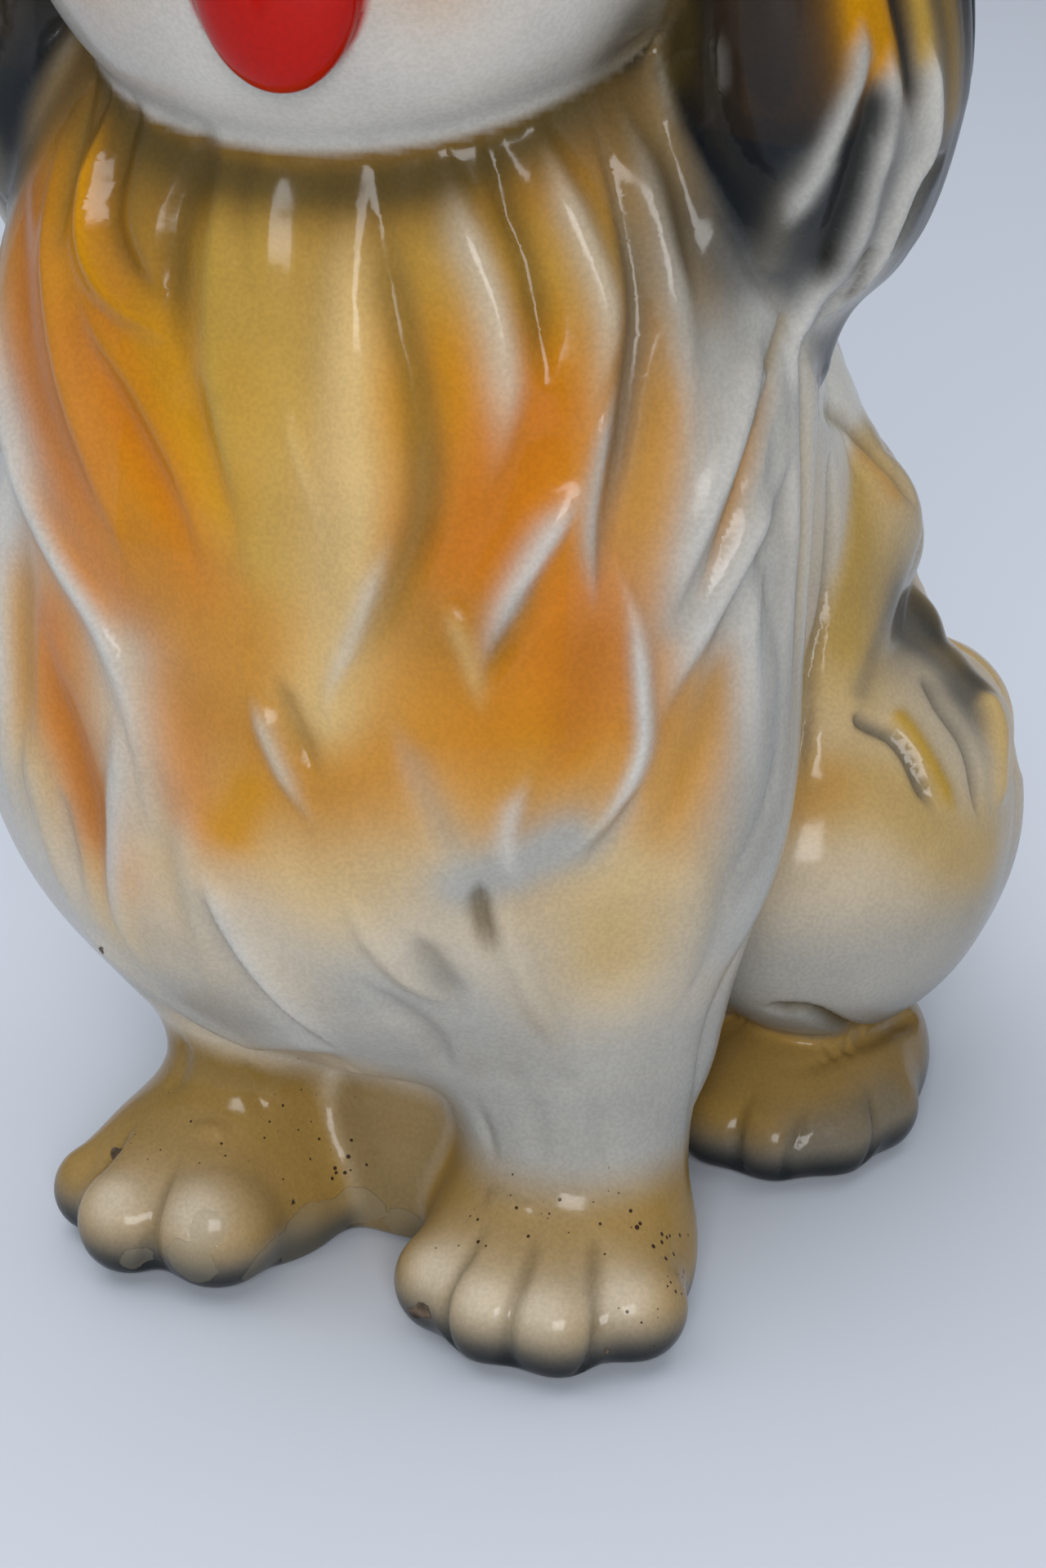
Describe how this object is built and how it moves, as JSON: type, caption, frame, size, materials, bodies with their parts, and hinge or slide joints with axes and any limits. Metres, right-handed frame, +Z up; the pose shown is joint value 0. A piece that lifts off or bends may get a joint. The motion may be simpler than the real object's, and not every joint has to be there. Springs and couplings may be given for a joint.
{
  "type": "dog statue",
  "caption": "Seated long-haired dog figurine in glossy glazed earthenware, with a full mane, hanging ears and a tail curled round one haunch; stands on a flat base.",
  "frame": {"origin": "middle of the bounding box at the level of the surface that the figurine stands on", "axes": "+Z up; the muzzle points to -Y; +X is the dog's own left side"},
  "size_m": [0.1606, 0.2068, 0.2997],
  "materials": {
    "mane_glaze": "glossy clear glaze over airbrushed cream, yellow and orange",
    "coat_glaze": "glossy clear glaze over cream with a light tan spray",
    "face_glaze": "glossy clear glaze over warm white",
    "crown_glaze": "glossy clear glaze over tan and dark olive spray",
    "nose_glaze": "glossy black",
    "tongue_glaze": "glossy red",
    "eye_glaze": "very glossy black-brown",
    "ear_glaze": "glossy black with orange and white brushed locks",
    "paw_glaze": "glossy yellow ochre, grey-black toe tips, pinholes and chips",
    "haunch_glaze": "glossy cream with a peach spray",
    "hind_paw_glaze": "glossy ochre, grey-black at the base",
    "tail_glaze": "glossy cream with dark grey airbrushed top"
  },
  "bodies": {
    "root": {"front_shell": "mane_glaze", "back_shell": "coat_glaze", "face_shell": "face_glaze", "crown_shell": "crown_glaze", "nose": "nose_glaze", "tongue": "tongue_glaze", "left_eye": "eye_glaze", "right_eye": "eye_glaze", "left_ear": "ear_glaze", "right_ear": "ear_glaze", "left_foreleg": "paw_glaze", "right_foreleg": "paw_glaze", "left_haunch": "haunch_glaze", "right_haunch": "haunch_glaze", "left_hind_paw": "hind_paw_glaze", "right_hind_paw": "hind_paw_glaze", "tail": "tail_glaze"}
  },
  "joints": []
}
